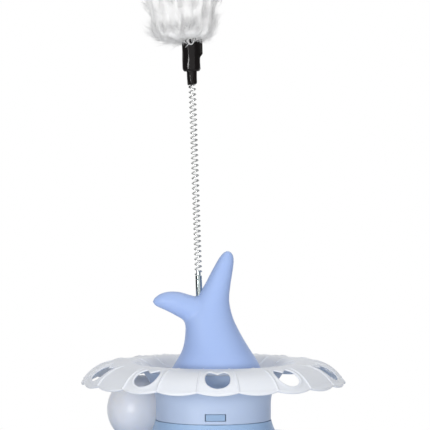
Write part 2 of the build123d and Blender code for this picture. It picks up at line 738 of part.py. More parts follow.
# Feather tuft: each vane is a thin upright blade, and the lowest barbs hang over the sleeve's edge
with BuildPart() as feather_tuft:
    stem_bottom = spring_sleeve_end + tuft_stem_gap
    with BuildSketch(wand_plane.offset(stem_bottom)):
        Circle(feather_sleeve_radius - feather_sleeve_wall - tuft_stem_fit)
    extrude(amount=feather_sleeve_top + tuft_droop - stem_bottom)
    for vane in range(tuft_vane_count):
        share = tuft_vane_length_shares[vane % len(tuft_vane_length_shares)]
        vane_plane = wand_plane.offset(feather_sleeve_top) * Plane(
            origin=(0, 0, 0),
            x_dir=(cos(2 * pi * vane / tuft_vane_count), sin(2 * pi * vane / tuft_vane_count), 0),
            z_dir=(sin(2 * pi * vane / tuft_vane_count), -cos(2 * pi * vane / tuft_vane_count), 0),
        ).location
        with BuildSketch(vane_plane) as blade:
            with BuildLine():
                vane_length = tuft_length * share
                outline = [
                    (reach * tuft_half_width, rise * vane_length)
                    for reach, rise in tuft_outline_shares
                ]
                Polyline((0, 0), *outline, (0, tuft_length * share), close=True)
            make_face()
        extrude(amount=tuft_vane_thickness / 2, both=True)
finish(feather_tuft, "feather_tuft")
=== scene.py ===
"""Dresses the cat ball tower: petal skirt, whale tail, spring wand, feathers, balls and a plain studio."""

import json
import random
from math import atan2, copysign, cos, pi, radians, sin, sqrt, tan

import bpy
import numpy as np
from bpy.props import FloatProperty, FloatVectorProperty, IntProperty, PointerProperty
from bpy.types import Operator, Panel, PropertyGroup
from mathutils import Euler, Matrix, Vector, noise
from mathutils.geometry import delaunay_2d_cdt


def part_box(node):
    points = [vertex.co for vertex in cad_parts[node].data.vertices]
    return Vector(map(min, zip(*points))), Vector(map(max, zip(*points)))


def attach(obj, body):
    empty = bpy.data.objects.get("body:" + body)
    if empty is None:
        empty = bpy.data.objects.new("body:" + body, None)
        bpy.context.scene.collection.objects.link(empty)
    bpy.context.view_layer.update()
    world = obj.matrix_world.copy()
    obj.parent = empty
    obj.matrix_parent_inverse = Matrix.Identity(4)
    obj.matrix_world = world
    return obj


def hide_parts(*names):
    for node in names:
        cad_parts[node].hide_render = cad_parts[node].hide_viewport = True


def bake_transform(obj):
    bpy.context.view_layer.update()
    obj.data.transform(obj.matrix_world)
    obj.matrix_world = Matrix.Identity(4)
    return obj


bl_info = {
    "name": "Cat Ball Tower",
    "version": (1, 0, 0),
    "blender": (4, 5, 0),
    "location": "View3D > Sidebar > Ball Tower",
    "description": "Builds the visible surfaces of a cat ball tower on its packed frame",
    "category": "Add Mesh",
}

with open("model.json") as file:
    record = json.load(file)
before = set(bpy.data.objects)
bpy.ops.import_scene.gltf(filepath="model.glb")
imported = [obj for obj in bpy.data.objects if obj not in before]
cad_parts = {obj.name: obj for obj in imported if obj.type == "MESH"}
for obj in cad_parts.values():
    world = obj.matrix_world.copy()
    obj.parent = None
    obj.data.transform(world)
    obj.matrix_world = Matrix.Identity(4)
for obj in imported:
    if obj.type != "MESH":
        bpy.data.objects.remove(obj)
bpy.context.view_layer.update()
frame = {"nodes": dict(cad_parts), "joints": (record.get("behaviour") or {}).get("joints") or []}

# Places read from the frame

skirt_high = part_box("petal_skirt")[1]
joint_places = {joint["name"]: Vector(joint.get("pos_m", (0, 0, 0))) for joint in frame["joints"]}
SWAY_PIVOT = joint_places["wand_sway"]
NOD_PIVOT = joint_places["lure_nod"]
WAND_AXIS = (NOD_PIVOT - SWAY_PIVOT).normalized()
WAND_LENGTH = (NOD_PIVOT - SWAY_PIVOT).length
FULL_TURN = 2 * pi


def wand_matrix():
    """Row-frame matrix of the wand: its origin is on the sway pivot and its Z runs along the spring."""
    across = Vector((0, 1, 0)).cross(WAND_AXIS).normalized()
    turn = Matrix((across, WAND_AXIS.cross(across), WAND_AXIS)).transposed().to_4x4()
    return Matrix.Translation(SWAY_PIVOT) @ turn


# Property groups


class TowerSizes(PropertyGroup):
    ridge_height: FloatProperty(
        name="Ridge height", description="How far the ridges between the petals stand up",
        default=0.00065, min=0.0002, max=0.002, unit="LENGTH")
    ridge_width: FloatProperty(
        name="Ridge width", description="Width of the ridges between the petals",
        default=0.0019, min=0.0008, max=0.004, unit="LENGTH")
    petal_hollow: FloatProperty(
        name="Petal hollow", description="How far the panel of a plain petal sinks between its ridges",
        default=0.00035, min=0.0, max=0.001, unit="LENGTH")
    skirt_wall: FloatProperty(
        name="Skirt wall", description="Wall thickness of the petal skirt",
        default=0.0014, min=0.001, max=0.003, unit="LENGTH")
    petals: IntProperty(
        name="Petals", description="Number of petals round the skirt; every other one has a heart",
        default=20, min=8, max=40)
    heart_width: FloatProperty(
        name="Heart width", description="Width of the heart-shaped cut-outs",
        default=0.0170, min=0.008, max=0.02, unit="LENGTH")
    heart_height: FloatProperty(
        name="Heart height", description="Height of the heart-shaped cut-outs along the petal",
        default=0.0186, min=0.008, max=0.024, unit="LENGTH")
    wire_radius: FloatProperty(
        name="Wire radius", description="Radius of the spring's wire",
        default=0.00048, min=0.0002, max=0.0008, unit="LENGTH")
    spring_radius: FloatProperty(
        name="Spring radius", description="Radius of the spring's centre line",
        default=0.00208, min=0.001, max=0.004, unit="LENGTH")
    spring_pitch: FloatProperty(
        name="Spring pitch", description="Rise of the spring's wire in one turn",
        default=0.0033, min=0.001, max=0.006, unit="LENGTH")
    barbs: IntProperty(
        name="Down barbs", description="Number of loose strands in the feather tuft",
        default=36000, min=500, max=60000)


class TowerColours(PropertyGroup):
    tail: FloatVectorProperty(
        name="Tail", description="Colour of the whale tail", subtype="COLOR",
        default=(0.375, 0.505, 0.83), size=3)
    skirt: FloatVectorProperty(
        name="Skirt", description="Colour of the petal skirt", subtype="COLOR",
        default=(0.795, 0.825, 0.885), size=3)
    cup: FloatVectorProperty(
        name="Cup", description="Colour of the funnel under the skirt", subtype="COLOR",
        default=(0.52, 0.61, 0.78), size=3)
    tray: FloatVectorProperty(
        name="Trays", description="Colour of the trays and their latches", subtype="COLOR",
        default=(0.39, 0.55, 0.77), size=3)
    ball: FloatVectorProperty(
        name="Balls", description="Colour of the frosted balls", subtype="COLOR",
        default=(0.79, 0.80, 0.84), size=3)
    feather: FloatVectorProperty(
        name="Feathers", description="Colour of the down", subtype="COLOR",
        default=(0.89, 0.89, 0.89), size=3)


# Materials


def new_shader(name):
    """Node material with its Principled shader; returns material, nodes, links and shader."""
    material = bpy.data.materials.new(name)
    material.use_nodes = True
    tree = material.node_tree
    return material, tree.nodes, tree.links, tree.nodes["Principled BSDF"]


def put(node, values):
    """Sets a node's own sockets by their names."""
    for socket, value in values.items():
        node.inputs[socket].default_value = value
    return node


def local_noise(nodes, links, scale, detail=3.0, along=1.0, distortion=0.0):
    """Noise in the piece's own coordinates, the same size on every piece; along scales it in Z."""
    place = nodes.new("ShaderNodeTexCoord").outputs["Object"]
    if along != 1.0:
        comb = put(nodes.new("ShaderNodeMapping"), {"Scale": (1.0, 1.0, along)})
        links.new(place, comb.inputs["Vector"])
        place = comb.outputs["Vector"]
    texture = nodes.new("ShaderNodeTexNoise")
    put(texture, {"Scale": scale, "Detail": detail, "Distortion": distortion})
    links.new(place, texture.inputs["Vector"])
    return texture.outputs["Fac"]


def spread(nodes, links, value, low, high):
    """Maps a value from 0..1 to low..high."""
    span = put(nodes.new("ShaderNodeMapRange"), {"To Min": low, "To Max": high})
    links.new(value, span.inputs["Value"])
    return span.outputs["Result"]


def tinted(nodes, links, factor, colour, dark):
    """Colour that wanders a little between itself and a darker tone."""
    mix = nodes.new("ShaderNodeMix")
    mix.data_type = "RGBA"
    put(mix, {"A": (*[channel * dark for channel in colour], 1), "B": (*colour, 1)})
    links.new(factor, mix.inputs["Factor"])
    return mix.outputs["Result"]


def bumped(nodes, links, height, strength, distance):
    """Normal from a height."""
    bump = put(nodes.new("ShaderNodeBump"), {"Strength": strength, "Distance": distance})
    links.new(height, bump.inputs["Height"])
    return bump.outputs["Normal"]


def dress(links, shader, base, rough, normal):
    """Links a material's colour, roughness and normal to its shader."""
    links.new(base, shader.inputs["Base Color"])
    links.new(rough, shader.inputs["Roughness"])
    links.new(normal, shader.inputs["Normal"])


def glow(shader, weight, reach):
    """Lets light spread under the skin, as far as reach in red, green and blue."""
    put(shader, {"Subsurface Weight": weight, "Subsurface Radius": reach, "Subsurface Scale": 1.0})


def uneven(name, colour, rough, *, mottle, dark, gloss, grain, bump, depth, detail=2.0):
    """Material whose colour, gloss and fine grain wander with noises; returns it and its shader."""
    material, nodes, links, shader = new_shader(name)
    dress(
        links, shader,
        tinted(nodes, links, local_noise(nodes, links, mottle, detail), colour, dark),
        spread(nodes, links, local_noise(nodes, links, gloss), *rough),
        bumped(nodes, links, local_noise(nodes, links, grain), bump, depth))
    return material, shader


def moulded_plastic(name, colour, rough=(0.36, 0.44), subsurface=0.1, grain=900.0):
    """Satin moulded plastic: faint mottling, a fine mould grain and slightly uneven gloss."""
    material, shader = uneven(
        name, colour, rough, mottle=22.0, dark=0.96, gloss=60.0, grain=grain, bump=0.08, depth=0.00005)
    if subsurface:
        glow(shader, subsurface, (0.004, 0.004, 0.005))
    return material


def frosted_shell(name, colour):
    """Thin frosted plastic: soft light under the skin and a dull gloss."""
    material, shader = uneven(
        name, colour, (0.30, 0.40), mottle=35.0, dark=0.96, gloss=90.0, grain=1400.0, bump=0.06,
        depth=0.00004)
    glow(shader, 0.6, (0.010, 0.011, 0.013))
    return material


def bright_metal(name, colour, rough, grain):
    """Bright metal with fine marks."""
    material, shader = uneven(
        name, colour, rough, mottle=120.0, dark=0.85, gloss=grain, grain=grain * 4, bump=0.03, depth=0.00001,
        detail=3.0)
    shader.inputs["Metallic"].default_value = 1.0
    return material


def shrink_tube(name, colour):
    """Black shrink tube: high gloss over long creases, with painted shade that darkens its colour to half in
    the crease hollows.
    """
    material, nodes, links, shader = new_shader(name)
    crease = local_noise(nodes, links, 420.0, detail=2.0, along=0.22)
    # painted shade: the colour drops to half where the crease height is low, in the hollows of its bump
    dress(
        links, shader, tinted(nodes, links, crease, colour, 0.5), spread(nodes, links, crease, 0.09, 0.18),
        bumped(nodes, links, crease, 0.3, 0.0002))
    shader.inputs["IOR"].default_value = 1.29
    return material


def down_material(name, colour):
    """Soft down: bright and matt, with a combed surface and a sheen."""
    material, nodes, links, shader = new_shader(name)
    white = tinted(nodes, links, local_noise(nodes, links, 160.0), colour, 0.97)
    links.new(white, shader.inputs["Base Color"])
    fluff = local_noise(nodes, links, 700.0, detail=2.0, along=0.16, distortion=0.6)
    links.new(bumped(nodes, links, fluff, 0.5, 0.0006), shader.inputs["Normal"])
    put(shader, {"Roughness": 0.9, "Specular IOR Level": 0.2, "Sheen Weight": 0.3, "Sheen Roughness": 0.5})
    glow(shader, 0.6, (0.005, 0.005, 0.005))
    return material


def pale_floor(name, colour, full, edge):
    """Pale floor, whole up to one radius and faded into the white beyond at the other."""
    material, nodes, links, shader = new_shader(name)
    put(shader, {"Base Color": (*colour, 1), "Roughness": 0.9})
    far = nodes.new("ShaderNodeVectorMath")
    far.operation = "LENGTH"
    links.new(nodes.new("ShaderNodeTexCoord").outputs["Object"], far.inputs[0])
    fade = put(nodes.new("ShaderNodeMapRange"), {"From Min": edge, "From Max": full})
    links.new(far.outputs["Value"], fade.inputs["Value"])
    links.new(fade.outputs["Result"], shader.inputs["Alpha"])
    return material


def wall_of(obj, material):
    """Gives a piece one material on all its slots."""
    if not obj.material_slots:
        obj.data.materials.append(material)
    for slot in obj.material_slots:
        slot.material = material


# Mesh helpers


def smooth_faces(mesh):
    """Shades all of a mesh's faces smooth."""
    mesh.polygons.foreach_set("use_smooth", [True] * len(mesh.polygons))


def new_piece(name, verts, faces, material, angle=180):
    """Mesh object from points and faces, linked to the scene, with edges sharp above an angle in degrees."""
    mesh = bpy.data.meshes.new(name)
    mesh.from_pydata([tuple(v) for v in verts], [], faces)
    mesh.validate()
    mesh.update()
    obj = bpy.data.objects.new(name, mesh)
    bpy.context.scene.collection.objects.link(obj)
    wall_of(obj, material)
    smooth_faces(mesh)
    mesh.set_sharp_from_angle(angle=radians(angle))
    return obj


def one_skin(obj, voxel):
    """Melts a piece's closed bodies into one mesh with no inner faces."""
    remesh = obj.modifiers.new("one_skin", "REMESH")
    remesh.mode = "VOXEL"
    remesh.voxel_size = voxel
    seen = obj.evaluated_get(bpy.context.evaluated_depsgraph_get())
    melted = bpy.data.meshes.new_from_object(seen)
    obj.modifiers.remove(remesh)
    obj.data = melted
    smooth_faces(melted)


def circle(steps):
    """Turn, cosine and sine of evenly spread steps round a circle."""
    turns = [FULL_TURN * step / steps for step in range(steps)]
    return [(turn, cos(turn), sin(turn)) for turn in turns]


def ring_faces(rings, steps, loop=False):
    """Quads between rings. In a loop the last ring meets the first, or else a face closes each end."""
    faces = []
    for ring in range(rings if loop else rings - 1):
        here, there = ring * steps, (ring + 1) % rings * steps
        for step in range(steps):
            after = (step + 1) % steps
            faces.append((here + step, here + after, there + after, there + step))
    if not loop:
        faces.append(tuple(range(steps))[::-1])
        faces.append(tuple((rings - 1) * steps + step for step in range(steps)))
    return faces


def moved_on(faces, first):
    """Faces whose points start at another number."""
    return [tuple(first + corner for corner in face) for face in faces]


def smooth_curve(keys, count):
    """Evenly spread points on a Catmull-Rom curve through rows of numbers."""
    rows = np.array([keys[0], *keys, keys[-1]], float)
    rows[0] = 2 * rows[1] - rows[2]
    rows[-1] = 2 * rows[-2] - rows[-3]
    points = []
    for place in np.linspace(0, len(keys) - 1, count):
        step = min(int(place), len(keys) - 2)
        t = place - step
        a, b, c, d = rows[step:step + 4]
        points.append(0.5 * (
            2 * b + (c - a) * t + (2 * a - 5 * b + 4 * c - d) * t * t + (3 * b - a - 3 * c + d) * t ** 3))
    return np.array(points)


LATHE_STEPS = 64
LATHE_SHARP = 35
STRAIGHT = radians(155)
FOLDED = radians(5)
CORNER_POINTS = 4
CORNER_SHARE = 0.45


def lathe(name, outline, material):
    """Turns a closed outline of (radius, height) points round Z."""
    ring = circle(LATHE_STEPS)
    verts = [(radius * x, radius * y, height) for radius, height in outline for _, x, y in ring]
    return new_piece(name, verts, ring_faces(len(outline), LATHE_STEPS, loop=True), material, LATHE_SHARP)


def rounded(outline, radius):
    """Rounds the corners of a closed outline, but not those that are nearly straight or folded."""
    points = []
    for here in range(len(outline)):
        corner = Vector(outline[here])
        back = Vector(outline[here - 1]) - corner
        ahead = Vector(outline[(here + 1) % len(outline)]) - corner
        bend = back.angle(ahead)
        if bend > STRAIGHT or bend < FOLDED:
            points.append(tuple(corner))
            continue
        reach = min(radius / tan(bend / 2), back.length * CORNER_SHARE, ahead.length * CORNER_SHARE)
        start = corner + back.normalized() * reach
        end = corner + ahead.normalized() * reach
        for turn in range(CORNER_POINTS + 1):
            t = turn / CORNER_POINTS
            points.append(tuple(start * (1 - t) ** 2 + corner * 2 * t * (1 - t) + end * t * t))
    return points


def bell(distance, width):
    """Smooth bump of height 1 at distance 0 that ends at width."""
    if abs(distance) >= width:
        return 0.0
    return 0.5 + 0.5 * cos(pi * distance / width)


def nearest(point, outline):
    """Distance from a flat point to the nearest point of an outline."""
    return min((point - corner).length for corner in outline)


def inside(point, outline):
    """Whether a flat point lies inside a closed outline."""
    within = False
    for here in range(len(outline)):
        a = outline[here - 1]
        b = outline[here]
        if (a.y > point.y) != (b.y > point.y):
            if point.x < (b.x - a.x) * (point.y - a.y) / (b.y - a.y) + a.x:
                within = not within
    return within


# Petal skirt: places and sizes of its section, from the hole in its floor to the rim

CREST = skirt_high.z - 0.0004
RIM_RADIUS = skirt_high.x
DROOP_ROUND = 0.028
DROOP_ANGLE = radians(59.5)
BOWL_CREST = 0.056
BOWL_ROUND = 0.014
BOWL_SLOPE = radians(34)
BOWL_FLOOR = 0.033
FLOOR_ROUND = 0.004
FLOOR_HOLE = 0.013
SCALLOP_ROUND = 0.060
FIRST_PETAL = radians(-90)
SKIRT_SHARP = 60
SEAM_WELD = 0.00002

# Half a heart, as shares of its half width and of its height from the notch to the tip
HEART_ROWS = (
    (0.0, 0.20), (0.28, 0.10), (0.60, 0.0), (0.87, 0.13), (1.0, 0.40), (0.91, 0.70), (0.67, 0.87),
    (0.33, 0.97), (0.0, 1.0),
)
HEART_ROW_POINTS = 12
HEART_PLACE = 0.0154
HEART_BOX = 0.014
HEART_THINNING = 0.42
HEART_THIN_REACH = 0.0024
HEART_CLEAR = 0.0004

# Ridges sink over the crest: by a share, about a place past its middle, over a half length with a fade
SINK_SHARE = 0.85
SINK_PLACE = 0.0006
SINK_HALF = 0.0042
SINK_FADE = 0.004

# Panels sink in from the crest and from the rim; a lip has a height, a distance to its edge and a half width
PANEL_FADE_IN = 0.006
PANEL_FADE_OUT = 0.004
HEART_PANEL_SHARE = 0.4
RIM_LIP = (0.0003, 0.0010, 0.0016)
HEART_LIP = (0.0004, 0.0007, 0.0015)

# Places of the mesh's lines, from a petal's side, from the rim and outwards from the heart
SIDE_PLACES = (0.0, 0.0003, 0.0006, 0.0009, 0.0013, 0.0018, 0.0025)
INNER_PLACE = 0.0034
INNER_COLUMNS = 15
RIM_PLACES = (0.0024, 0.0018, 0.0012, 0.0006, 0.0)
FLOOR_ROWS, BOWL_ROWS, PETAL_ROWS = 3, 22, 26
HEART_PLACES = (0.0, 0.0003, 0.0007, 0.0012, 0.0018)
HEART_GAP = 0.0006
EDGE_TURNS = [radians(turn) for turn in (30, 60, 90, 120, 150)]
SAME_PLACE = 1e-5


class SkirtSection:
    """Walks along the skirt's section: gives radius, height and slope at a length from the floor hole.

    The section is a chain of runs of (length, start direction, bend radius). A positive bend radius
    curves upwards and a negative one rolls down.
    """

    def __init__(self):
        droop_start = RIM_RADIUS - DROOP_ROUND * sin(DROOP_ANGLE)
        floor_drop = (BOWL_ROUND + FLOOR_ROUND) * (1 - cos(BOWL_SLOPE))
        slope_run = BOWL_CREST - BOWL_FLOOR - (BOWL_ROUND + FLOOR_ROUND) * sin(BOWL_SLOPE)
        self.runs = (
            (BOWL_FLOOR - FLOOR_HOLE, 0.0, None),
            (FLOOR_ROUND * BOWL_SLOPE, 0.0, FLOOR_ROUND),
            (slope_run / cos(BOWL_SLOPE), BOWL_SLOPE, None),
            (BOWL_ROUND * BOWL_SLOPE, BOWL_SLOPE, -BOWL_ROUND),
            (droop_start - BOWL_CREST, 0.0, None),
            (DROOP_ROUND * DROOP_ANGLE, 0.0, -DROOP_ROUND),
        )
        self.start = (FLOOR_HOLE, CREST - floor_drop - slope_run * tan(BOWL_SLOPE))
        self.length = sum(run[0] for run in self.runs)
        self.crest = sum(run[0] for run in self.runs[:4])
        self.droop = sum(run[0] for run in self.runs[:5])
        self.heart = self.droop + HEART_PLACE

    def at(self, length):
        """Radius, height and slope angle of the upper side; past either end its run goes on."""
        radius, height = self.start
        last = len(self.runs) - 1
        for index, (run, slope, bend) in enumerate(self.runs):
            part = length if index == last else min(length, run)
            if bend is None:
                radius += part * cos(slope)
                height += part * sin(slope)
                angle = slope
            else:
                angle = slope + part / bend
                radius += bend * (sin(angle) - sin(slope))
                height += bend * (cos(slope) - cos(angle))
            length -= part
            if length <= 1e-9:
                break
        return radius, height, angle


def heart_outline(width, height, grow):
    """Points of the heart cut-out, grown outwards by a distance; its round tip points to +Y, the rim."""
    keys = [(-across, down) for across, down in HEART_ROWS[::-1]] + list(HEART_ROWS[1:-1])
    keys = keys[-1:] + keys + keys[:2]
    rows = smooth_curve(keys, HEART_ROW_POINTS * (len(keys) - 1) + 1)[HEART_ROW_POINTS:-2 * HEART_ROW_POINTS]
    curve = [Vector((across * width / 2, (down - 0.5) * height)) for across, down in rows]
    points = []
    for here in range(len(curve)):
        run = (curve[(here + 1) % len(curve)] - curve[here - 1]).normalized()
        points.append(curve[here] + Vector((run.y, -run.x)) * grow)
    return points


class PetalField:
    """Heights and places on one petal, in the plane of arc length across it and along it."""

    def __init__(self, sizes, section, has_heart):
        self.sizes = sizes
        self.section = section
        self.half_angle = pi / sizes.petals
        self.reference = section.at(section.heart)[0]
        self.has_heart = has_heart
        self.outline = heart_outline(sizes.heart_width, sizes.heart_height, 0.0)

    def to_heart(self, x, y):
        """Distance to the heart's edge."""
        return nearest(Vector((x, y - self.section.heart)), self.outline)

    def relief(self, x, y, turn, radius):
        """How far the upper side stands over the plain section: ridges, panels and lips."""
        sizes = self.sizes
        section = self.section
        gap = (self.half_angle - abs(turn)) * radius
        from_crest = abs(y - (section.crest + section.droop) / 2 - SINK_PLACE)
        crest_fade = 1 - SINK_SHARE * bell(max(0.0, from_crest - SINK_HALF), SINK_FADE)
        lift = sizes.ridge_height * crest_fade * bell(gap, sizes.ridge_width / 2)
        if y > section.crest:
            to_rim = section.length - y
            fade = min(1.0, (y - section.crest) / PANEL_FADE_IN) * min(1.0, max(0.0, to_rim) / PANEL_FADE_OUT)
            side = max(0.0, 1 - (turn / self.half_angle) ** 2)
            lift -= sizes.petal_hollow * fade * side * (HEART_PANEL_SHARE if self.has_heart else 1.0)
            height, place, half = RIM_LIP
            lift += height * bell(to_rim - place, half)
        if self.has_heart and y > section.droop:
            height, place, half = HEART_LIP
            lift += height * bell(self.to_heart(x, y) - place, half)
        return lift

    def wall(self, x, y):
        """Wall thickness, thinner towards the heart's edge."""
        if not self.has_heart or abs(y - self.section.heart) > HEART_BOX:
            return self.sizes.skirt_wall
        return self.sizes.skirt_wall * (1 - HEART_THINNING * bell(self.to_heart(x, y), HEART_THIN_REACH))

    def point(self, x, y, depth=0.0):
        """Radius, height and turn at a depth under the upper side; x runs across, y along the section."""
        turn = x / self.reference
        section = self.section
        across = RIM_RADIUS * turn
        rise = (SCALLOP_ROUND - sqrt(SCALLOP_ROUND ** 2 - across ** 2)) / sin(DROOP_ANGLE)
        bend_start = section.heart + self.sizes.heart_height / 2 + HEART_CLEAR
        share = max(0.0, (y - bend_start) / (section.length - bend_start))
        radius, height, angle = section.at(y - share * rise)
        lift = -depth if depth else self.relief(x, y, turn, radius)
        return radius - lift * sin(angle), height + lift * cos(angle), turn


def petal_columns(field):
    """Places across a petal, close together beside the ridges."""
    edge = field.half_angle * field.reference
    inner = np.linspace(-(edge - INNER_PLACE), edge - INNER_PLACE, INNER_COLUMNS)
    sides = [place - edge for place in SIDE_PLACES] + [edge - place for place in SIDE_PLACES]
    return sorted(sides + list(inner))


def petal_rows(section):
    """Places along the section, from the floor hole to the rim."""
    floor_end = section.runs[0][0]
    floor = list(np.linspace(0, floor_end, FLOOR_ROWS)[:-1])
    bowl = list(np.linspace(floor_end, section.crest, BOWL_ROWS)[:-1])
    petal = list(np.linspace(section.crest, section.length - RIM_PLACES[0], PETAL_ROWS)[:-1])
    return floor + bowl + petal + [section.length - place for place in RIM_PLACES]


def petal_sheet(field):
    """Flat points and faces of one petal with its share of the bowl, open at the heart."""
    sizes = field.sizes
    section = field.section
    columns = petal_columns(field)
    rows = petal_rows(section)
    if not field.has_heart:
        wide = len(columns)
        faces = [
            (row * wide + col, row * wide + col + 1, (row + 1) * wide + col + 1, (row + 1) * wide + col)
            for row in range(len(rows) - 1) for col in range(wide - 1)
        ]
        return [Vector((x, y)) for y in rows for x in columns], faces
    contours = [heart_outline(sizes.heart_width, sizes.heart_height, grow) for grow in HEART_PLACES]
    flat = []
    for y in rows:
        for x in columns:
            place = Vector((x, y - section.heart))
            if nearest(place, contours[-1]) > HEART_GAP and not inside(place, contours[-1]):
                flat.append(Vector((x, y)))
    edges = []
    for ring in contours:
        first = len(flat)
        flat += [Vector((corner.x, corner.y + section.heart)) for corner in ring]
        edges += [(first + step, first + (step + 1) % len(ring)) for step in range(len(ring))]
    verts, _, faces, *_ = delaunay_2d_cdt(flat, edges, [], 0, 1e-7)
    kept = []
    for face in faces:
        middle = sum((verts[corner] for corner in face), Vector((0, 0))) / len(face)
        if not inside(middle - Vector((0, section.heart)), contours[0]):
            kept.append(tuple(face))
    return verts, kept


def petal_patch(field):
    """Points (radius, height, turn) and faces of one petal as a wall with half-round edges."""
    flat, sheet = petal_sheet(field)
    count = len(flat)
    points = [field.point(x, y) for x, y in flat] + [field.point(x, y, field.wall(x, y)) for x, y in flat]
    faces = [face[::-1] for face in sheet] + moved_on(sheet, count)
    edges = {(face[step - 1], face[step]) for face in sheet for step in range(len(face))}
    side = field.half_angle * field.reference - SAME_PLACE
    rim = [
        (a, b) for a, b in edges
        if (b, a) not in edges and not (abs(flat[a].x) > side and abs(flat[b].x) > side)
    ]
    outwards = {}
    for a, b in rim:
        run = (flat[b] - flat[a]).normalized()
        for corner in (a, b):
            outwards[corner] = outwards.get(corner, Vector((0, 0))) + Vector((run.y, -run.x))
    bands = {}
    for corner, outward in outwards.items():
        straight = abs(flat[corner].x) > side
        outward = Vector((0, copysign(1, outward.y))) if straight else outward.normalized()
        half_wall = field.wall(*flat[corner]) / 2
        bands[corner] = [corner]
        for turn in EDGE_TURNS:
            place = flat[corner] + outward * (half_wall * sin(turn))
            bands[corner].append(len(points))
            points.append(field.point(place.x, place.y, half_wall * (1 - cos(turn))))
        bands[corner].append(count + corner)
    for a, b in rim:
        faces += [
            (bands[a][step], bands[b][step], bands[b][step + 1], bands[a][step + 1])
            for step in range(len(bands[a]) - 1)
        ]
    return points, faces


class TOWER_OT_petal_skirt(Operator):
    """Build the petal skirt with its ridges, scallops and heart cut-outs"""
    bl_idname = "tower.petal_skirt"
    bl_label = "Petal Skirt"

    def execute(self, context):
        sizes = context.scene.tower_sizes
        section = SkirtSection()
        verts, faces = [], []
        patches = [petal_patch(PetalField(sizes, section, has_heart)) for has_heart in (True, False)]
        for petal in range(sizes.petals):
            points, patch_faces = patches[petal % 2]
            faces += moved_on(patch_faces, len(verts))
            middle = FIRST_PETAL + FULL_TURN * petal / sizes.petals
            for radius, height, turn in points:
                verts.append((radius * cos(middle + turn), radius * sin(middle + turn), height))
        material = moulded_plastic("skirt_plastic", context.scene.tower_colours.skirt, subsurface=0.15)
        skirt = new_piece("skirt_petals", verts, faces, material, SKIRT_SHARP)
        weld = skirt.modifiers.new("join_petals", "WELD")
        weld.merge_threshold = SEAM_WELD
        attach(skirt, "tower")
        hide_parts("petal_skirt")
        return {"FINISHED"}


# Whale tail: rows of place, height over the crest, half width and half depth

TRUNK_ROWS = (
    (0.0004, -0.0118, 0.0323, 0.0323), (0.0021, -0.0020, 0.0278, 0.0274), (0.0019, 0.0067, 0.0227, 0.0216),
    (0.0006, 0.0140, 0.0195, 0.0182), (-0.0014, 0.0223, 0.0170, 0.0150), (-0.0030, 0.0300, 0.0153, 0.0122),
    (-0.0010, 0.0400, 0.0113, 0.0096), (0.0025, 0.0499, 0.0086, 0.0076), (0.0055, 0.0587, 0.0070, 0.0061),
    (0.0081, 0.0665, 0.0053, 0.0047), (0.0090, 0.0705, 0.0034, 0.0030), (0.0092, 0.0719, 0.0019, 0.0017),
    (0.0093, 0.0725, 0.0004, 0.0004),
)
FLUKE_ROWS = (
    (-0.0050, 0.0305, 0.0105, 0.0100), (-0.0140, 0.0338, 0.0095, 0.0090), (-0.0220, 0.0370, 0.0086, 0.0078),
    (-0.0284, 0.0391, 0.0069, 0.0064), (-0.0340, 0.0398, 0.0050, 0.0046), (-0.0378, 0.0395, 0.0030, 0.0026),
    (-0.0391, 0.0393, 0.0017, 0.0015), (-0.0398, 0.0392, 0.0004, 0.0004),
)
TAIL_RINGS = 70
TAIL_STEPS = 56
TAIL_VOXEL = 0.0009
TAIL_CROOK = (-0.0185, 0.0, CREST + 0.0262)
CROOK_REACH = 0.013
SOFT_PASSES, FILLET_PASSES = 12, 90
SMOOTH_FACTOR = 0.5


def smoothed(obj, name, passes, group=""):
    """Smooths a piece, or only a vertex group of it, with a modifier."""
    smooth = obj.modifiers.new(name, "SMOOTH")
    smooth.factor = SMOOTH_FACTOR
    smooth.iterations = passes
    smooth.vertex_group = group


class TOWER_OT_whale_tail(Operator):
    """Build the whale tail as one soft moulding over its two shells"""
    bl_idname = "tower.whale_tail"
    bl_label = "Whale Tail"

    def execute(self, context):
        verts, faces = [], []
        for rows, sideways in ((TRUNK_ROWS, False), (FLUKE_ROWS, True)):
            faces += moved_on(ring_faces(TAIL_RINGS, TAIL_STEPS), len(verts))
            for place, height, half_width, half_depth in smooth_curve(rows, TAIL_RINGS):
                for _, x, y in circle(TAIL_STEPS):
                    if sideways:
                        verts.append((place, half_depth * x, CREST + height + half_width * y))
                    else:
                        verts.append((place + half_width * x, half_depth * y, CREST + height))
        material = moulded_plastic("tail_plastic", context.scene.tower_colours.tail, (0.42, 0.50))
        tail = new_piece("tail_moulding", verts, faces, material)
        one_skin(tail, TAIL_VOXEL)
        smoothed(tail, "soften", SOFT_PASSES)
        crook = Vector(TAIL_CROOK)
        near = tail.vertex_groups.new(name="crook")
        for vert in tail.data.vertices:
            near.add([vert.index], bell(min(CROOK_REACH, (vert.co - crook).length), CROOK_REACH), "REPLACE")
        smoothed(tail, "fillet", FILLET_PASSES, near.name)
        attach(tail, "tower")
        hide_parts("tail_front_shell", "tail_rear_shell")
        return {"FINISHED"}


# Balls, each turned so that its bead leans

BALL_LEANS = (("upper_ball", (0.9, 0.5, 0.2)), ("lower_ball", (0.4, -0.8, 1.1)))
BALL_RINGS = 72
BALL_STEPS = 112
BEAD_HEIGHT = 0.00012
BEAD_HALF = 0.0009


def ball_mesh(name, radius, material):
    """Ball of two welded halves, with a low bead where they meet."""
    verts = []
    for ring in range(BALL_RINGS):
        fall = pi * (ring + 0.5) / BALL_RINGS
        reach = radius - BEAD_HEIGHT + BEAD_HEIGHT * bell((fall - pi / 2) * radius, BEAD_HALF)
        wide = reach * sin(fall)
        verts += [(wide * x, wide * y, reach * cos(fall)) for _, x, y in circle(BALL_STEPS)]
    return new_piece(name, verts, ring_faces(BALL_RINGS, BALL_STEPS), material)


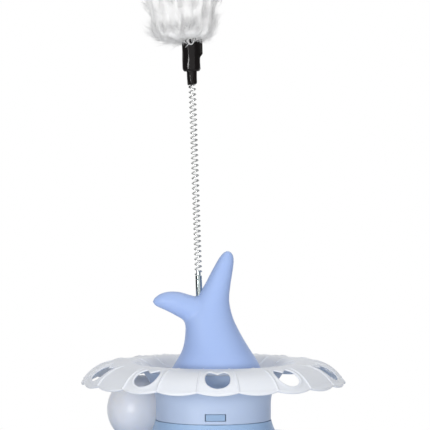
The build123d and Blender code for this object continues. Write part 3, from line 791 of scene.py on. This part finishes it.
class TOWER_OT_balls(Operator):
    """Build the frosted ball on each track"""
    bl_idname = "tower.balls"
    bl_label = "Frosted Balls"

    def execute(self, context):
        material = frosted_shell("ball_plastic", context.scene.tower_colours.ball)
        for node, lean in BALL_LEANS:
            low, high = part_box(node)
            ball = ball_mesh(node + "_shell", (high.x - low.x) / 2, material)
            ball.data.transform(Matrix.Translation((low + high) / 2) @ Euler(lean).to_matrix().to_4x4())
            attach(ball, node)
            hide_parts(node)
        return {"FINISHED"}


# Spring wand, with Z along the wand from the sway pivot

SPRING_START = 0.00074
SPRING_END = WAND_LENGTH + 0.0044
SPRING_SPLIT = 0.070
SPRING_PHASE = 0.415
WIRE_SIDES = 10
WIRE_STEPS = 28
WIRE_SHARP = 70


def coil(name, start, end, sizes, material):
    """Round wire wound to the left between two heights over the sway pivot."""
    first_turn = (start - SPRING_START) / sizes.spring_pitch
    turns = (end - start) / sizes.spring_pitch
    count = int(turns * WIRE_STEPS) + 1
    verts = []
    slope = atan2(sizes.spring_pitch, FULL_TURN * sizes.spring_radius)
    for step in range(count):
        turn = -FULL_TURN * (SPRING_PHASE + first_turn + turns * step / (count - 1))
        outward = Vector((cos(turn), sin(turn), 0))
        along = Vector((sin(turn) * cos(slope), -cos(turn) * cos(slope), sin(slope)))
        across = along.cross(outward)
        middle = outward * sizes.spring_radius + Vector((0, 0, start + (end - start) * step / (count - 1)))
        verts += [middle + (outward * x + across * y) * sizes.wire_radius for _, x, y in circle(WIRE_SIDES)]
    wire = new_piece(name, verts, ring_faces(count, WIRE_SIDES), material, WIRE_SHARP)
    wire.data.transform(wand_matrix())
    return wire


class TOWER_OT_spring(Operator):
    """Wind the open spring, in two lengths"""
    bl_idname = "tower.spring"
    bl_label = "Open Spring"

    def execute(self, context):
        sizes = context.scene.tower_sizes
        material = bright_metal("spring_wire", (0.80, 0.81, 0.80), (0.10, 0.18), grain=300.0)
        lower = coil("spring_lower", SPRING_START, SPRING_SPLIT, sizes, material)
        upper = coil("spring_upper", SPRING_SPLIT, SPRING_END, sizes, material)
        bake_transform(lower)
        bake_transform(upper)
        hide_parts("wand_spring")
        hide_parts("wand_spring")
        return {"FINISHED"}


# Ferrule with a groove under its mouth and a neck for the spring, and the bush round its foot

FERRULE_OUTLINE = (
    (0.0002, -0.0253), (0.00215, -0.0253), (0.00215, -0.0030), (0.00205, -0.0028), (0.00205, -0.0024),
    (0.00215, -0.0022), (0.00215, 0.0), (0.00146, 0.0), (0.00140, 0.0035), (0.0002, 0.0035),
)
FERRULE_CORNER = 0.00025
BUSH_OUTLINE = ((0.0021, -0.0155), (0.0021, -0.0250), (0.0034, -0.0277), (0.0034, -0.0155))
BUSH_CORNER = 0.0003


class TOWER_OT_ferrule(Operator):
    """Turn the bright ferrule with its groove and neck, and mould the bush that holds it in the tail"""
    bl_idname = "tower.ferrule"
    bl_label = "Ferrule"

    def execute(self, context):
        metal = bright_metal("ferrule_metal", (0.53, 0.60, 0.60), (0.14, 0.20), grain=200.0)
        ferrule = lathe("ferrule_turned", rounded(FERRULE_OUTLINE, FERRULE_CORNER), metal)
        ferrule.data.transform(wand_matrix())
        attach(ferrule, "tower")
        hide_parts("wand_ferrule")
        dark = moulded_plastic("socket_plastic", (0.06, 0.065, 0.08), (0.45, 0.6), subsurface=0.0)
        bush = lathe("socket_moulded", rounded(BUSH_OUTLINE, BUSH_CORNER), dark)
        bush.data.transform(wand_matrix())
        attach(bush, "tower")
        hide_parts("wand_socket")
        return {"FINISHED"}


# Shrink sleeves: rows of radius and height over the sleeve's start

SLEEVE_START = WAND_LENGTH
SLEEVE_LENGTH = 0.018
WIDE_START = SLEEVE_START + 0.0085
WIDE_LENGTH = 0.0219
TUFT_START = WIDE_START + WIDE_LENGTH
NARROW_ROWS = ((0.00300, 0.0), (0.00345, 0.0006), (0.00352, 0.004), (0.00350, SLEEVE_LENGTH))
NARROW_BORE = 0.0026
WIDE_ROWS = (
    (0.0036, 0.0), (0.0052, 0.0003), (0.0060, 0.0013), (0.00615, 0.003), (0.00605, 0.011), (0.0062, 0.018),
    (0.0061, WIDE_LENGTH),
)
WIDE_BORE = 0.0051
SLEEVE_RINGS = 80
SLEEVE_STEPS = 120
SLEEVE_SHARP = 60
SLEEVE_SINK = 0.00028
BORE_ENDS = (0.0001, 0.0002)

# Creases and fine wrinkles: how often round and along the sleeve, and how high
CREASE = (2.6, 160, 0.00022)
WRINKLE = (7, 420, 0.00007)
WRINKLE_SHIFT = 9
EDGE_WAVE = 0.00025

# The narrow sleeve's cut end slants, and the wide one has a flap pinched over a turn at its side
SLANT = 0.0005
SLANT_DEPTH = 0.004
SLANT_RADIUS = 0.0035
FLAP = 0.0017
FLAP_TURN = 0.26
FLAP_SIDE_TURN = 0.09
FLAP_LENGTH = 0.0128
FLAP_TAPER = 0.0022


def shrunk_sleeve(name, rows, start, bore, material, flap=0.0):
    """Sleeve shrunk on by heat, with long creases and, on +X, a pinched flap."""
    curve = smooth_curve([(radius, start + height) for radius, height in rows], SLEEVE_RINGS)
    verts = []
    top = curve[-1][1]
    for radius, height in curve:
        for turn, x, y in circle(SLEEVE_STEPS):
            often, along, lift = CREASE
            crease = noise.noise(Vector((x * often, y * often, height * along))) * lift
            often, along, lift = WRINKLE
            fine = noise.noise(Vector((x * often, y * often, height * along + WRINKLE_SHIFT)))
            reach = radius - SLEEVE_SINK + crease + lift * fine
            side = min(turn, FULL_TURN - turn)
            if flap and side < FLAP_TURN:
                taper = min(1.0, max(0.0, (height - (top - FLAP_LENGTH)) / FLAP_TAPER))
                reach += flap * taper * min(1.0, (FLAP_TURN - side) / FLAP_SIDE_TURN)
            verts.append((reach * x, reach * y, height + EDGE_WAVE * fine))
    for height in (top - BORE_ENDS[0], curve[0][1] + BORE_ENDS[1]):
        verts += [(bore * x, bore * y, height) for _, x, y in circle(SLEEVE_STEPS)]
    faces = ring_faces(SLEEVE_RINGS + 2, SLEEVE_STEPS, loop=True)
    return new_piece(name, verts, faces, material, SLEEVE_SHARP)


class TOWER_OT_sleeves(Operator):
    """Shrink the narrow and the wide black sleeve on to the spring's end"""
    bl_idname = "tower.sleeves"
    bl_label = "Shrink Sleeves"

    def execute(self, context):
        material = shrink_tube("sleeve_black", (0.012, 0.010, 0.010))
        narrow = shrunk_sleeve("sleeve_narrow", NARROW_ROWS, SLEEVE_START, NARROW_BORE, material)
        for vert in narrow.data.vertices:
            depth = max(0.0, 1 - (vert.co.z - SLEEVE_START) / SLANT_DEPTH)
            vert.co.z += SLANT * depth * (vert.co.x / SLANT_RADIUS)
        wide = shrunk_sleeve("sleeve_wide", WIDE_ROWS, WIDE_START, WIDE_BORE, material, FLAP)
        for sleeve, node in ((narrow, "spring_sleeve"), (wide, "feather_sleeve")):
            sleeve.data.transform(wand_matrix())
            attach(sleeve, "lure")
            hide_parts(node)
        return {"FINISHED"}


# Feather tuft: each plume leaves the sleeve's mouth at a turn and bends out to a reach before it rises;
# rows of (turn in degrees, reach, height of its lowest bend, height of its tip)

PLUMES = (
    (180, 0.0190, 0.0012, 0.074), (205, 0.0175, 0.0016, 0.082), (229, 0.0160, 0.0034, 0.078),
    (252, 0.0150, 0.0044, 0.083), (281, 0.0148, 0.0050, 0.086), (307, 0.0158, 0.0040, 0.078),
    (333, 0.0172, 0.0028, 0.082), (358, 0.0180, 0.0022, 0.080), (22, 0.0172, 0.0035, 0.077),
    (50, 0.0155, 0.0045, 0.085), (80, 0.0150, 0.0050, 0.080), (108, 0.0155, 0.0040, 0.084),
    (133, 0.0165, 0.0028, 0.078), (157, 0.0180, 0.0018, 0.080), (200, 0.0090, 0.0060, 0.087),
    (262, 0.0080, 0.0070, 0.088), (330, 0.0085, 0.0070, 0.086), (38, 0.0080, 0.0070, 0.088),
    (110, 0.0085, 0.0070, 0.087), (0, 0.0010, 0.0090, 0.088),
)
PLUME_ROWS = 48
PLUME_STEPS = 20
PLUME_DEPTH_SHARE = 0.92
PLUME_VOXEL = 0.0010
STREAK_TURNS, STREAK_RISE = 2, 0.20
BODY_SHARE, STREAK_SHARE = 0.84, 0.35

# The tuft leans from its foot on, and less in its upper half
TUFT_LEAN = -0.0042
LEAN_FROM, LEAN_OVER = 0.002, 0.006
UPPER_HALF, UPPER_LEAN = 0.05, 0.6

# Barbs grow in tufts: most lie along the plume as a coat, the others stand out. Pairs are least and most
TUFT_BARBS = 45
COAT_SHARE = 0.7
COAT_ROOT, COAT_LIFT = (0.82, 1.02), (0.05, 0.38)
LOOSE_ROOT, LOOSE_LIFT, LOOSE_RISE = (0.5, 0.8), (0.3, 0.8), (0.6, 1.2)
BARB_LENGTH, BARB_SHARE, BARB_WIDTH = (0.005, 0.0095), (0.6, 1.1), (0.00012, 0.00024)
BARB_BEND = (0.2, 0.9)
TUFT_FIRST, TUFT_SPAN, TUFT_POWER = 0.12, 0.86, 0.85
TUFT_SCATTER, TUFT_CURL, TUFT_SWEEP = 0.2, 0.4, 0.5
BARB_SPREAD, BARB_SCATTER, BARB_CURL = 0.0012, 0.20, 0.22
BARB_TAPER = 0.85
BARB_POINTS = (0.0, 0.25, 0.5, 0.75, 1.0)

# Curled wisps in front of the sleeve: the strand's radius and the places that it passes
WISPS = (
    (0.00046, (
        (0.0024, -0.0060, 0.0012), (0.0020, -0.0068, -0.0018), (0.0004, -0.0070, -0.0040),
        (-0.0014, -0.0069, -0.0034), (-0.0020, -0.0068, -0.0016), (-0.0009, -0.0070, -0.0002),
        (0.0005, -0.0073, -0.0006), (0.0006, -0.0074, -0.0020))),
    (0.00022, ((-0.0004, -0.0066, -0.0036), (-0.0022, -0.0064, -0.0044), (-0.0038, -0.0055, -0.0062))),
    (0.00022, ((-0.0046, -0.0050, 0.0006), (-0.0042, -0.0054, -0.0020), (-0.0024, -0.0066, -0.0040))),
    (0.00022, ((-0.0030, -0.0058, 0.0008), (-0.0026, -0.0064, -0.0012), (-0.0034, -0.0060, -0.0030))),
    (0.00022, ((0.0040, -0.0052, 0.0008), (0.0036, -0.0058, -0.0010), (0.0024, -0.0066, -0.0026))),
)
STRAND_SIDES = 6
STRAND_POINTS = 12


def plume_curve(turn, reach, low, top):
    """Rows of (x, y, height, thickness) along a plume's middle."""
    rows = [(0.0, 0.0, -0.0060, 0.0020)]
    for share, height, thick in (
        (0.12, 0.000, 0.0026), (0.62, low, 0.0040), (0.84, 0.3 * (low + 0.020), 0.0047),
        (0.96, 0.0200, 0.0050), (1.22, 0.0400, 0.0056), (1.16, 0.72 * top, 0.0050),
        (0.74, 0.90 * top, 0.0034), (0.38, top, 0.0010),
    ):
        lean = TUFT_LEAN * min(1.0, max(0.0, (height + LEAN_FROM) / LEAN_OVER))
        lean *= UPPER_LEAN if height > UPPER_HALF else 1.0
        depth = PLUME_DEPTH_SHARE * share * reach * sin(turn)
        rows.append((lean + share * reach * cos(turn), depth, height, thick))
    return smooth_curve(rows, PLUME_ROWS)


def plume_frame(curve, row):
    """Middle, direction and two cross directions of a plume at one of its rows."""
    middle = Vector(curve[row][:3])
    ahead = Vector(curve[min(row + 1, len(curve) - 1)][:3])
    behind = Vector(curve[max(row - 1, 0)][:3])
    along = (ahead - behind).normalized()
    across = along.cross(Vector((0.31, 0.95, 0.02))).normalized()
    return middle, along, across, along.cross(across)


def plume_body(curves):
    """Points and faces of the plumes as closed bodies with streaked sides."""
    verts, faces = [], []
    for curve in curves:
        first = len(verts)
        faces += moved_on(ring_faces(len(curve), PLUME_STEPS), first)
        for row in range(len(curve)):
            middle, _, across, over = plume_frame(curve, row)
            for _, x, y in circle(PLUME_STEPS):
                place = (x * STREAK_TURNS, y * STREAK_TURNS, row * STREAK_RISE + first)
                reach = curve[row][3] * (BODY_SHARE + STREAK_SHARE * noise.noise(Vector(place)))
                verts.append(middle + (across * x + over * y) * reach)
    return verts, faces


def scatter(dice, size):
    """Random offset, spread alike along all three axes."""
    return Vector([dice.gauss(0, size) for _ in range(3)])


def ribbon(verts, faces, points, width, side):
    """Adds a thin strand that follows points and narrows to its end."""
    first = len(verts)
    for step, point in enumerate(points):
        half = side * width * (1 - BARB_TAPER * step / (len(points) - 1)) / 2
        verts += [point - half, point + half]
    for step in range(len(points) - 1):
        a = first + 2 * step
        faces.append((a, a + 1, a + 3, a + 2))


def down_barbs(curves, count, dice):
    """Points and faces of loose barbs that sweep off the plumes in small tufts."""
    verts, faces = [], []
    for _ in range(count // TUFT_BARBS):
        curve = curves[dice.randrange(len(curves))]
        row = int((TUFT_FIRST + TUFT_SPAN * dice.random() ** TUFT_POWER) * (len(curve) - 1))
        middle, along, across, over = plume_frame(curve, row)
        turn = dice.uniform(0, FULL_TURN)
        outward = across * cos(turn) + over * sin(turn)
        if dice.random() < COAT_SHARE:
            root = middle + outward * curve[row][3] * dice.uniform(*COAT_ROOT)
            heading = outward * dice.uniform(*COAT_LIFT) + along
        else:
            root = middle + outward * curve[row][3] * dice.uniform(*LOOSE_ROOT)
            heading = outward * dice.uniform(*LOOSE_LIFT) + along * dice.uniform(*LOOSE_RISE)
        heading = (heading + scatter(dice, TUFT_SCATTER)).normalized()
        bend = (along * TUFT_SWEEP + scatter(dice, TUFT_CURL)) * dice.uniform(*BARB_BEND)
        reach = dice.uniform(*BARB_LENGTH)
        for _ in range(TUFT_BARBS):
            start = root + scatter(dice, BARB_SPREAD)
            own = (heading + scatter(dice, BARB_SCATTER)).normalized()
            curl = bend + scatter(dice, BARB_CURL)
            length = reach * dice.uniform(*BARB_SHARE)
            points = [start + (own * t + curl * t * t * 0.5) * length for t in BARB_POINTS]
            side = own.cross(scatter(dice, 1)).normalized()
            ribbon(verts, faces, points, dice.uniform(*BARB_WIDTH), side)
    return verts, faces


def strand(verts, faces, keys, thick):
    """Adds a soft round strand through a few keys, thinner towards both ends."""
    curve = [Vector(row) for row in smooth_curve(keys, STRAND_POINTS * len(keys))]
    faces += moved_on(ring_faces(len(curve), STRAND_SIDES), len(verts))
    for step, point in enumerate(curve):
        along = (curve[min(step + 1, len(curve) - 1)] - curve[max(step - 1, 0)]).normalized()
        across = along.cross(Vector((0.05, 1, 0.1))).normalized()
        over = along.cross(across)
        reach = thick * (0.25 + 0.75 * sin(pi * (0.06 + 0.88 * step / (len(curve) - 1))))
        verts += [point + (across * x + over * y) * reach for _, x, y in circle(STRAND_SIDES)]


class TOWER_OT_feathers(Operator):
    """Grow the feather tuft: soft plumes, thousands of loose barbs and a few curled wisps"""
    bl_idname = "tower.feathers"
    bl_label = "Feather Tuft"

    def execute(self, context):
        dice = random.Random(7)
        material = down_material("white_down", context.scene.tower_colours.feather)
        curves = [plume_curve(radians(turn), *places) for turn, *places in PLUMES]
        body = new_piece("down_body", *plume_body(curves), material)
        one_skin(body, PLUME_VOXEL)
        barbs = new_piece("down_barbs", *down_barbs(curves, context.scene.tower_sizes.barbs, dice), material)
        verts, faces = [], []
        for thick, keys in WISPS:
            strand(verts, faces, keys, thick)
        wisps = new_piece("down_wisps", verts, faces, material)
        for piece in (body, barbs, wisps):
            piece.data.transform(wand_matrix() @ Matrix.Translation((0, 0, TUFT_START)))
            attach(piece, "lure")
            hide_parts("feather_tuft")
        return {"FINISHED"}


# Carried-over pieces of the frame

TAB_SHARE = 0.85


class TOWER_OT_mouldings(Operator):
    """Finish the pieces that keep their frame shape: base, tray, cup, latches, pads and screws"""
    bl_idname = "tower.mouldings"
    bl_label = "Mouldings And Fittings"

    def execute(self, context):
        colours = context.scene.tower_colours
        tray = moulded_plastic("tray_plastic", colours.tray)
        cup = moulded_plastic("cup_plastic", colours.cup)
        tab = moulded_plastic("tab_plastic", [channel * TAB_SHARE for channel in colours.tray])
        rubber = moulded_plastic("pad_rubber", (0.30, 0.33, 0.38), (0.7, 0.85), subsurface=0.0, grain=400.0)
        zinc = bright_metal("screw_zinc", (0.62, 0.62, 0.63), (0.3, 0.45), grain=300.0)
        finishes = {
            "base_tray": tray, "upper_tray": tray, "top_cup": cup, "foot_pads": rubber, "tail_screws": zinc,
        }
        for level in ("lower", "upper"):
            for number in (1, 2, 3):
                finishes[f"{level}_latch_{number}"] = tab
        for node, material in finishes.items():
            wall_of(frame["nodes"][node], material)
        return {"FINISHED"}


# Studio: where the photo shows the tower's axis and the skirt's crest, and from where it was taken

PHOTO_PIXELS = 430
PHOTO_PIXEL_SIZE = 0.000652
AXIS_PIXEL = 213.5
CREST_PIXEL = 362.0
CAMERA_DISTANCE = 3.0
CREST_ELEVATION = radians(5.05)
CAMERA_TURN = radians(-2.0)
SENSOR_WIDTH = 36.0
CLIP_START = 0.05
FLOOR_REACH = 0.62
FLOOR_WHOLE = 0.34
FLOOR_COLOUR = (0.84, 0.84, 0.85)
WORLD_FILL = 0.34

# Dark flags at both sides, seen in reflections only: a ray's sideways share where they start and are full
FLAG_START = 0.45
FLAG_END = 0.8
FLAG_TONE = 0.1

# Lamps: name, place, height that it faces on the tower's axis, width, height and power in watts
LAMPS = (
    ("strip", (-1.45, -1.85, 0.34), 0.34, 0.36, 0.44, 15.0),
    ("low", (-0.45, -2.7, 0.14), 0.12, 0.9, 0.26, 20.0),
    ("right", (1.25, -2.25, 0.36), 0.17, 0.8, 0.5, 18.0),
    ("top", (0.2, 0.1, 1.9), 0.15, 1.4, 1.4, 8.0),
    ("back", (0.4, 2.5, 0.8), 0.2, 1.2, 0.8, 18.0),
)
MIRRORED_LAMPS = ("strip", "top")


def calculated(nodes, links, operation, *values):
    """Result of a mathematical operation on one or two values."""
    sum_node = nodes.new("ShaderNodeMath")
    sum_node.operation = operation
    for socket, value in zip(sum_node.inputs, values):
        links.new(value, socket)
    return sum_node.outputs[0]


def white_surroundings():
    """World that is white where it is seen, dimmer as light, and dark at both sides in reflections."""
    world = bpy.data.worlds.new("studio_white")
    world.use_nodes = True
    nodes = world.node_tree.nodes
    links = world.node_tree.links
    background = put(nodes["Background"], {"Color": (1, 1, 1, 1)})
    rays = nodes.new("ShaderNodeLightPath").outputs
    seen = calculated(nodes, links, "MAXIMUM", rays["Is Camera Ray"], rays["Is Transmission Ray"])
    toward = nodes.new("ShaderNodeSeparateXYZ")
    links.new(nodes.new("ShaderNodeTexCoord").outputs["Generated"], toward.inputs[0])
    flags = nodes.new("ShaderNodeMapRange")
    flags.interpolation_type = "SMOOTHSTEP"
    put(flags, {"From Min": FLAG_START, "From Max": FLAG_END, "To Min": 1.0, "To Max": FLAG_TONE})
    links.new(calculated(nodes, links, "ABSOLUTE", toward.outputs["X"]), flags.inputs["Value"])
    strength = nodes.new("ShaderNodeMix")
    links.new(rays["Is Glossy Ray"], strength.inputs["Factor"])
    links.new(spread(nodes, links, seen, WORLD_FILL, 1.0), strength.inputs["A"])
    links.new(flags.outputs["Result"], strength.inputs["B"])
    links.new(strength.outputs["Result"], background.inputs["Strength"])
    return world


def placed(scene, name, data, place, target):
    """Puts a lamp or camera in the scene, facing a target."""
    obj = bpy.data.objects.new(name, data)
    obj.location = place
    obj.rotation_euler = (Vector(target) - Vector(place)).to_track_quat("-Z", "Y").to_euler()
    scene.collection.objects.link(obj)
    return obj


def photo_camera(scene):
    """Camera with the photo's angle, scale and framing."""
    back = Vector((sin(CAMERA_TURN), -cos(CAMERA_TURN), 0))
    right = Vector((cos(CAMERA_TURN), sin(CAMERA_TURN), 0))
    over = (CREST_PIXEL - PHOTO_PIXELS / 2) * PHOTO_PIXEL_SIZE
    shift = (PHOTO_PIXELS / 2 - AXIS_PIXEL) * PHOTO_PIXEL_SIZE
    rise = CAMERA_DISTANCE * tan(CREST_ELEVATION)
    place = Vector((0, 0, CREST + rise)) + back * CAMERA_DISTANCE + right * shift
    target = Vector((0, 0, CREST + over)) + right * shift
    lens = bpy.data.cameras.new("photo_camera")
    lens.sensor_width = SENSOR_WIDTH
    lens.lens = lens.sensor_width * (target - place).length / (PHOTO_PIXELS * PHOTO_PIXEL_SIZE)
    lens.clip_start = CLIP_START
    return placed(scene, "photo_camera", lens, place, target)


class TOWER_OT_studio(Operator):
    """Set the pale floor, the white surroundings, the soft lights and the camera"""
    bl_idname = "tower.studio"
    bl_label = "Studio"

    def execute(self, context):
        scene = context.scene
        corners = [(FLOOR_REACH * x, FLOOR_REACH * y, 0) for x, y in ((-1, -1), (1, -1), (1, 1), (-1, 1))]
        pale = pale_floor("floor_pale", FLOOR_COLOUR, FLOOR_WHOLE, FLOOR_REACH)
        floor = new_piece("studio_floor", corners, [(0, 1, 2, 3)], pale)
        scene.world = white_surroundings()
        for name, place, aim, width, height, power in LAMPS:
            lamp = bpy.data.lights.new(name, "AREA")
            lamp.shape = "RECTANGLE"
            lamp.size = width
            lamp.size_y = height
            lamp.energy = power
            light = placed(scene, name, lamp, place, (0, 0, aim))
            light.visible_glossy = name in MIRRORED_LAMPS
            light.visible_camera = False
        scene.camera = photo_camera(scene)
        scene.view_settings.view_transform = "Standard"
        return {"FINISHED"}


PIECES = (
    TOWER_OT_mouldings, TOWER_OT_petal_skirt, TOWER_OT_whale_tail, TOWER_OT_balls,
    TOWER_OT_ferrule, TOWER_OT_spring, TOWER_OT_sleeves, TOWER_OT_feathers, TOWER_OT_studio,
)


class TOWER_PT_builder(Panel):
    """Sizes, colours and one button for each piece of the tower"""
    bl_idname = "TOWER_PT_builder"
    bl_label = "Ball Tower"
    bl_space_type = "VIEW_3D"
    bl_region_type = "UI"
    bl_category = "Ball Tower"

    def draw(self, context):
        layout = self.layout
        for group in (context.scene.tower_sizes, context.scene.tower_colours):
            column = layout.column(align=True)
            for name in group.bl_rna.properties.keys():
                if name not in {"rna_type", "name"}:
                    column.prop(group, name)
        for piece in PIECES:
            layout.operator(piece.bl_idname)


CLASSES = (TowerSizes, TowerColours, *PIECES, TOWER_PT_builder)


def register():
    for item in CLASSES:
        bpy.utils.register_class(item)
    bpy.types.Scene.tower_sizes = PointerProperty(type=TowerSizes)
    bpy.types.Scene.tower_colours = PointerProperty(type=TowerColours)


def unregister():
    del bpy.types.Scene.tower_colours
    del bpy.types.Scene.tower_sizes
    for item in reversed(CLASSES):
        bpy.utils.unregister_class(item)


def main():
    register()
    for piece in PIECES:
        group, name = piece.bl_idname.split(".")
        getattr(getattr(bpy.ops, group), name)()


if __name__ == "__main__":
    main()
